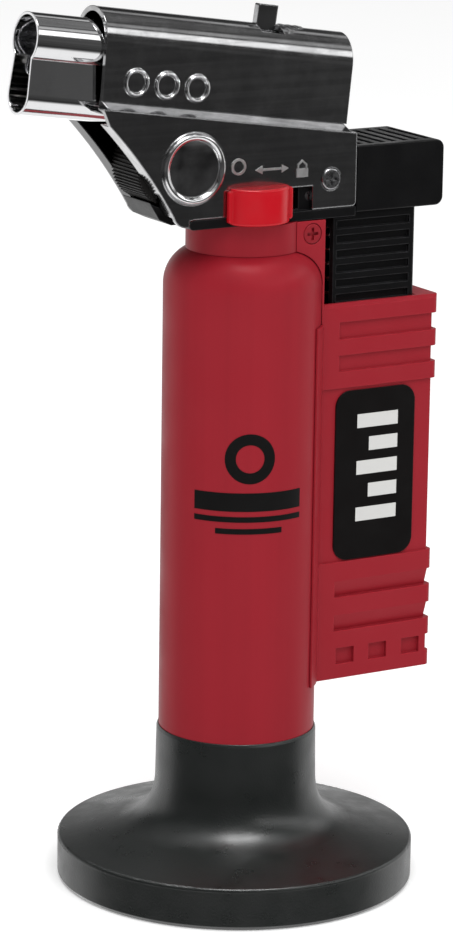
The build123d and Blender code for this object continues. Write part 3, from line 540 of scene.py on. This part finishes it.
def make_plate_marks():
    """Embossed signs above the slider: an open ring, a double arrow and a padlock."""
    ring_x, ring_z, ring_outer, ring_inner = -6.4, 134.9, 1.5, 1.05
    shapes = [ring(ring_x, ring_z, ring_outer, ring_inner)]

    arrow_z, shaft, point, barb, length = 134.0, 0.2, 0.02, 0.75, 1.4    # half heights, head length
    shapes.append(bar(-1.6, 2.6, arrow_z - shaft, arrow_z + shaft))
    for tip, way in ((-2.9, 1), (3.9, -1)):
        back = tip + length * way
        shapes.append(([(tip, arrow_z - point), (back, arrow_z - barb)],
                       [(tip, arrow_z + point), (back, arrow_z + barb)], False))

    lock_x, lock_z = 6.8, 133.6
    shapes.append(bar(lock_x - 1.2, lock_x + 1.2, lock_z - 1.5, lock_z + 0.1))
    shackle = []
    for half, shoulder, top in ((0.7, 0.7, 1.3), (1.0, 0.85, 1.7)):
        corners = ((-half, 0), (-half, shoulder), (0, top), (half, shoulder), (half, 0))
        shackle.append([(lock_x + x, lock_z + z) for x, z in corners])
    shapes.append((*shackle, False))
    marks("plate_marks", shapes, on_near_face(PLATE_Y), 0.16, mark_chrome)


# ---------------------------------------------------------------- springs
def coil_point(x, low, high, radius, wire, turns, t):
    """Centre of the wire after t turns; the first and the last turn lie closed on their seats."""
    closed = 2.1 * wire
    first = low + wire
    last = high - wire
    if t < 1:
        z = first + closed * t
    elif t > turns - 1:
        z = last - closed * (turns - t)
    else:
        z = first + closed + (last - first - 2 * closed) * (t - 1) / (turns - 2)
    angle = 2 * math.pi * t
    return Vector(((x + radius * math.cos(angle)) * MM, radius * math.sin(angle) * MM, z * MM))


def make_spring(node, x, low, high, radius, wire, turns):
    """Compression spring from low to high.

    Radius is that of the coil and wire that of the wire.
    """
    steps = 40 * turns
    sides = 12
    path = [coil_point(x, low, high, radius, wire, turns, turns * k / steps)
            for k in range(steps + 1)]
    maker = bmesh.new()
    rings = []
    for k, centre in enumerate(path):
        forward = (path[min(k + 1, steps)] - path[max(k - 1, 0)]).normalized()
        out = Vector((centre.x - x * MM, centre.y, 0)).normalized()
        over = forward.cross(out)
        rings.append([maker.verts.new(centre + wire * MM * (math.cos(a) * out + math.sin(a) * over))
                      for a in (2 * math.pi * n / sides for n in range(sides))])
    for one, two in zip(rings, rings[1:]):
        for n in range(sides):
            following = (n + 1) % sides
            maker.faces.new((one[n], one[following], two[following], two[n]))
    maker.faces.new(rings[0])
    maker.faces.new(rings[-1])
    bmesh.ops.recalc_face_normals(maker, faces=maker.faces)
    for face in maker.faces:
        face.smooth = len(face.verts) == 4
    piece = add_object(node + "_coil", maker, spring_steel)
    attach(piece, "torch")
    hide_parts(node)
    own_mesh(piece)


# ---------------------------------------------------------------- scene
make_camera()
make_floor()
make_reflection_room()
make_lights()
scene.view_settings.view_transform = "Standard"
scene.view_settings.look = "None"

stand_black = plastic("stand_black", rgb(25, 28, 27), rough=0.33, grain_scale=2600, specular=0.7)
# Strong painted highlight along the sharp edges.
black_plastic = plastic("black_plastic", rgb(14, 14, 15), rough=0.36, grain=0.02, specular=0.22,
                        edge_highlight=0.6, edge_highlight_gain=14)
wheel_black = plastic("wheel_black", rgb(26, 24, 23), rough=0.5, specular=0.3)
# Faint painted highlight along the sharp edges.
grip_red = plastic("grip_red", rgb(142, 30, 40), rough=0.4, grain=0.015, grain_scale=2600,
                   specular=0.12, mottle=0.05, edge_highlight=0.6, edge_highlight_gain=1.7)
slider_red = plastic("slider_red", rgb(176, 12, 26), rough=0.22, grain=0.006, specular=0.4,
                     mottle=0.04, edge=0.5)
label_black = plastic("label_black", rgb(17, 15, 15), rough=0.35, grain=0.004, specular=0.2)
ceramic = plastic("ceramic_white", (0.78, 0.76, 0.72, 1), rough=0.3, grain=0.005, specular=0.5)
lead_plastic = plastic("lead_plastic", (0.20, 0.02, 0.02, 1), rough=0.5, grain=0.01)
piezo_plastic = plastic("piezo_plastic", (0.45, 0.42, 0.36, 1))
tube_plastic = plastic("tube_plastic", (0.70, 0.70, 0.66, 1), rough=0.35, grain=0.005)
print_black = plastic("print_black", rgb(14, 13, 13), rough=0.5, grain=0.004, specular=0.2,
                      edge=0.02)
print_grey = plastic("print_grey", rgb(196, 196, 194), rough=0.5, grain=0.004, specular=0.2,
                     mottle=0.03, edge=0.02)

# The tank's lacquer carries the painted reflection bands as well as the draw lines.
tank_red = paint("tank_red", rgb(142, 27, 38))
screw_red = paint("screw_red", rgb(132, 28, 37), draw_lines_and_painted_bands=False)

boss_rim = [(*BOSS, *BOSS_RIM)]
barrel_rings = [(*head_point(s, RING_DROP), *RING_RIM) for s in RING_STATIONS]
head_chrome = chrome("head_chrome", (0.42, 0.42, 0.425, 1), rough=0.12, edge=0.4,
                     zones=boss_rim, streaks=0.22)
# The far housing half, with painted shade on its inside.
far_shaded_chrome = chrome("far_shaded_chrome", (0.42, 0.42, 0.425, 1), rough=0.12, edge=0.4,
                    zones=boss_rim, far_painted_shade=True, streaks=0.22)
barrel_chrome = chrome("barrel_chrome", (0.50, 0.50, 0.505, 1), rough=0.1,
                       zones=barrel_rings, streaks=0.3)
nozzle_chrome = chrome("nozzle_chrome", (0.90, 0.90, 0.91, 1), rough=0.05)

steel = metal("steel", (0.50, 0.50, 0.51, 1))
spring_steel = metal("spring_steel", (0.60, 0.60, 0.61, 1), rough=0.2)
brass = metal("brass", (0.60, 0.43, 0.18, 1))
copper = metal("copper", (0.55, 0.28, 0.16, 1))
aluminium = metal("aluminium", (0.55, 0.55, 0.56, 1))
mark_chrome = metal("mark_chrome", (0.97, 0.97, 0.97, 1), rough=0.45, tarnish=0.1)

seal_rubber = rubber("seal_rubber", (0.02, 0.02, 0.02, 1))
pad_rubber = rubber("pad_rubber", (0.05, 0.05, 0.05, 1))

assign(stand_black, "base_stand")
assign(pad_rubber, "foot_pad")
assign(tank_red, "fuel_tank", "neck_collar")
assign(aluminium, "tank_bottom_plug")
assign(seal_rubber, "neck_seal", "valve_seat")
assign(brass, "refill_valve_body", "refill_valve_stem", "gas_valve_body", "gas_valve_stem",
       "gas_jet")
assign(spring_steel, "refill_valve_spring", "gas_valve_spring", "return_spring")
assign(tube_plastic, "dip_tube")
assign(black_plastic, "chassis", "thumb_button", "trigger_stem")
assign(head_chrome, "housing_left", "air_lever")
assign(far_shaded_chrome, "housing_right")
assign(barrel_chrome, "barrel_cover")
assign(nozzle_chrome, "nozzle_guard")
assign(steel, "housing_screws", "burner_tube", "flame_holder", "burner_bracket", "electrode",
       "air_sleeve", "adjuster_axle", "valve_rocker", "rocker_pin")
assign(copper, "gas_tube")
assign(ceramic, "electrode_insulator")
assign(lead_plastic, "ignition_lead")
assign(wheel_black, "adjuster_wheel")
assign(slider_red, "lock_slider")
assign(piezo_plastic, "piezo_body", "piezo_plunger")
assign(grip_red, "grip_left", "grip_right")
assign(screw_red, "grip_screws")
assign(label_black, "grip_label")

make_tank_print()
make_label_print()
make_plate_marks()
make_spring("return_spring", x=18.6, low=98.2, high=121.7, radius=2.2, wire=0.32, turns=10)
make_spring("gas_valve_spring", x=0, low=114.1, high=122.9, radius=2.1, wire=0.28, turns=7)
make_spring("refill_valve_spring", x=0, low=9.65, high=14.75, radius=1.5, wire=0.22, turns=6)
